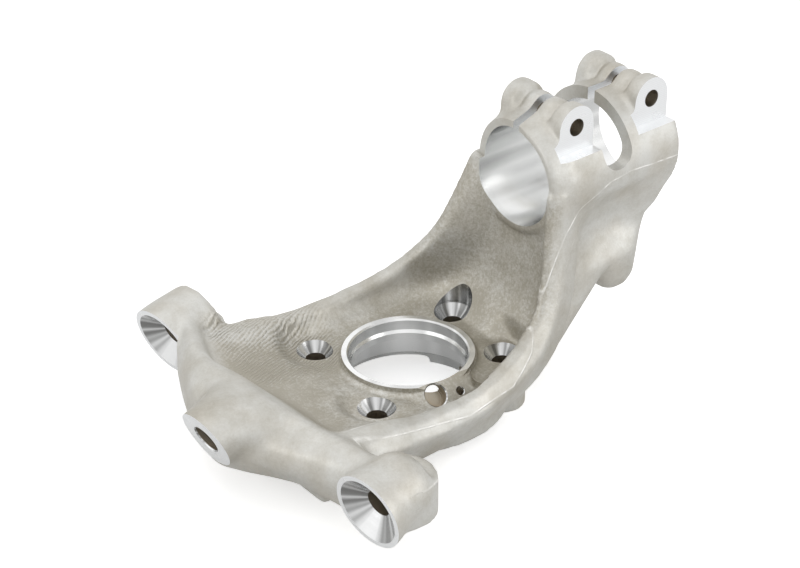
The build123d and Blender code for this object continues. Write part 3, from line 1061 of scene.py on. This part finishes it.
def bumped(tree, shader, height, depth):
    """Gives the shader a relief, its depth in metres."""
    bump = node(tree, "ShaderNodeBump", {"Strength": 1.0, "Distance": depth})
    tree.links.new(height, bump.inputs["Height"])
    tree.links.new(bump.outputs["Normal"], shader.inputs["Normal"])


def attribute(tree, name):
    """A value that the mesh carries."""
    return node(tree, "ShaderNodeAttribute", attribute_name=name).outputs["Fac"]


def own_uv(tree):
    """The piece's own UV map."""
    return node(tree, "ShaderNodeUVMap", uv_map="UVMap").outputs["UV"]


def forged_skin(tone_group, rows_group):
    """Blasted skin of the forging, with a painted highlight along its parting line, painted shade in the
    channel, and the cutter rows.
    """
    mat, tree, shader = metal("forged_skin", 0.4)
    place = node(tree, "ShaderNodeTexCoord").outputs["Object"]
    cusps = attribute(tree, "cusps")
    # mask of the painted highlight along the parting line, broken up by noise
    line = remap(tree, maths(tree, "ABSOLUTE", attribute(tree, "parting")), LINE_EDGE, (1.0, 0.0))
    wander = remap(tree, noise(tree, place, scale=140, detail=2), (0.4, 0.6), (0.25, 1.0))
    line = maths(tree, "MULTIPLY", line, wander, clamp=True)
    rows = node(tree, "ShaderNodeGroup", node_tree=rows_group)
    tree.links.new(place, rows.inputs["Place"])
    tree.links.new(cusps, rows.inputs["Amount"])
    relief = rows.outputs["Height"]
    # painted shade: the channel's shade, deepened along the cutter rows' relief and lifted over their
    # patch
    dark = maths(tree, "ADD", attribute(tree, "hollow"), maths(tree, "MULTIPLY", relief, ROWS_SHADE))
    dark = maths(tree, "SUBTRACT", dark, maths(tree, "MULTIPLY", cusps, ROWS_SHADE_LIFT))
    tone = node(tree, "ShaderNodeGroup", node_tree=tone_group)
    for label, source in (("Place", place), ("Line", line), ("Hollow_Shade", dark)):
        tree.links.new(source, tone.inputs[label])
    height = maths(tree, "ADD", tone.outputs["Height"], maths(tree, "MULTIPLY", relief, ROWS_HEIGHT))
    height = maths(tree, "ADD", height, maths(tree, "MULTIPLY", line, LINE_HEIGHT))
    tree.links.new(tone.outputs["Colour"], shader.inputs["Base Color"])
    tree.links.new(tone.outputs["Roughness"], shader.inputs["Roughness"])
    bumped(tree, shader, height, FORGED_DEPTH)
    return mat


def lathe_metal(name, lathe_group, light, shade_colour, anisotropy):
    """Bright turned metal, with painted reflections as light and dark bands round its axis."""
    mat, tree, shader = metal(name, 0.2)
    marks = node(tree, "ShaderNodeGroup", {"Pitch": LATHE_PITCH}, node_tree=lathe_group)
    tree.links.new(own_uv(tree), marks.inputs["Turn"])
    # painted reflections: light and dark bands round the axis
    shade = remap(tree, marks.outputs["Streak"], (0.44, 0.64), (0.0, 1.0))
    tree.links.new(mixed(tree, shade, light, shade_colour), shader.inputs["Base Color"])
    tree.links.new(maths(tree, "ADD", marks.outputs["Roughness"], 0.17), shader.inputs["Roughness"])
    around = node(tree, "ShaderNodeTangent", direction_type="UV_MAP", uv_map="UVMap")
    shader.inputs["Anisotropic"].default_value = anisotropy
    tree.links.new(around.outputs["Tangent"], shader.inputs["Tangent"])
    bumped(tree, shader, marks.outputs["Height"], LATHE_DEPTH)
    return mat


def milled_metal(mill_group):
    """Flat milled metal with the arcs of its cutter."""
    mat, tree, shader = metal("milled_metal", 0.3)
    marks = node(tree, "ShaderNodeGroup", node_tree=mill_group)
    tree.links.new(own_uv(tree), marks.inputs["Place"])
    tone = mixed(tree, marks.outputs["Height"], MILLED_COLOUR, MILLED_SHADE)
    tree.links.new(tone, shader.inputs["Base Color"])
    tree.links.new(maths(tree, "ADD", marks.outputs["Roughness"], 0.26), shader.inputs["Roughness"])
    bumped(tree, shader, marks.outputs["Height"], MILL_DEPTH)
    return mat


def drilled_metal(lathe_group):
    """Dull wall of a drilled hole, painted dark as the shade inside the hole, with darker bands of painted
    reflection.
    """
    mat, tree, shader = metal("drilled_metal", 0.45)
    marks = node(tree, "ShaderNodeGroup", {"Pitch": DRILL_PITCH}, node_tree=lathe_group)
    tree.links.new(own_uv(tree), marks.inputs["Turn"])
    shade = remap(tree, marks.outputs["Streak"], (0.35, 0.65), (0.0, 0.6))
    tree.links.new(mixed(tree, shade, DRILLED_SHADE, FORGED_DARK_AND_SHADE), shader.inputs["Base Color"])
    bumped(tree, shader, marks.outputs["Height"], DRILL_DEPTH)
    return mat


def finishes():
    """The materials of the knuckle, in the order of its slots."""
    lathe_group = lathe_marks()
    return [
        forged_skin(forged_tone(), cutter_rows()),
        lathe_metal("turned_metal", lathe_group, TURNED_COLOUR, TURNED_SHADE, anisotropy=0.6),
        lathe_metal("bored_metal", lathe_group, BORED_COLOUR, BORED_SHADE, anisotropy=0.4),
        milled_metal(mill_marks()),
        drilled_metal(lathe_group),
    ]


def studio_ground():
    """A matte ground that still takes the shadow; the camera sees it lifted towards plain white."""
    mat = bpy.data.materials.new("studio_floor")
    mat.use_nodes = True
    tree = mat.node_tree
    shader = tree.nodes["Principled BSDF"]
    shader.inputs["Base Color"].default_value = (*GROUND_COLOUR, 1)
    shader.inputs["Roughness"].default_value = 0.9
    shader.inputs["Specular IOR Level"].default_value = 0.1
    shader.inputs["Emission Color"].default_value = WHITE
    ray = node(tree, "ShaderNodeLightPath")
    glow = maths(tree, "MULTIPLY", ray.outputs["Is Camera Ray"], GROUND_LIFT)
    tree.links.new(glow, shader.inputs["Emission Strength"])
    return mat


def panel(name, spot, side, watts):
    """A soft square lamp turned to the part, its place and side in millimetres."""
    data = bpy.data.lights.new(name, "AREA")
    data.shape = "RECTANGLE"
    data.size = side * MM
    data.size_y = side * MM
    data.energy = watts
    lamp = bpy.data.objects.new(name, data)
    lamp.location = Vector(spot) * MM
    lamp.rotation_euler = (Vector(spot) - Vector(LAMP_AIM)).to_track_quat("Z", "Y").to_euler()
    bpy.context.scene.collection.objects.link(lamp)


def white_light(tree, strength):
    """Plain white background light."""
    return node(tree, "ShaderNodeBackground", {"Color": WHITE, "Strength": strength}).outputs[0]


def surroundings():
    """Soft light on the part, and plain white where the camera or a reflection looks past it."""
    world = bpy.data.worlds.new("studio")
    bpy.context.scene.world = world
    world.use_nodes = True
    tree = world.node_tree
    tree.nodes.clear()
    ray = node(tree, "ShaderNodeLightPath")
    looking = maths(tree, "ADD", ray.outputs["Is Camera Ray"], ray.outputs["Is Glossy Ray"])
    looking = maths(tree, "ADD", looking, ray.outputs["Is Transmission Ray"], clamp=True)
    pick = node(tree, "ShaderNodeMixShader")
    sources = (looking, white_light(tree, SOFT_LIGHT), white_light(tree, PLAIN_LIGHT))
    for socket, source in zip(pick.inputs, sources):
        tree.links.new(source, socket)
    tree.links.new(pick.outputs[0], node(tree, "ShaderNodeOutputWorld").inputs["Surface"])


def photo_camera():
    """The camera of the photograph."""
    lens = bpy.data.cameras.new("camera")
    lens.lens = CAMERA_LENS
    lens.sensor_width = CAMERA_FILM
    lens.clip_start = CAMERA_NEAR
    lens.clip_end = CAMERA_FAR
    camera = bpy.data.objects.new("camera", lens)
    camera.location = CAMERA_PLACE
    camera.rotation_euler = Euler([radians(turn) for turn in CAMERA_TURNS])
    bpy.context.scene.collection.objects.link(camera)
    bpy.context.scene.camera = camera


# knuckle
knuckle = forging()
knuckle.data.uv_layers.new(name="UVMap")
for finish_metal in finishes():
    knuckle.data.materials.append(finish_metal)
machine(knuckle)
crisp(knuckle)
marked(knuckle, "hollow", hollow_shade_of)
marked(knuckle, "cusps", cusps_of)
marked(knuckle, "parting", above_parting)
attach(knuckle, "root")
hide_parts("knuckle")

# studio
ground = bmesh.new()
bmesh.ops.create_grid(ground, x_segments=1, y_segments=1, size=GROUND_SIZE)
floor = as_object("floor", ground)
floor.data.materials.append(studio_ground())
for lamp_values in LAMPS:
    panel(*lamp_values)
surroundings()
photo_camera()
bpy.context.scene.view_settings.view_transform = "Standard"
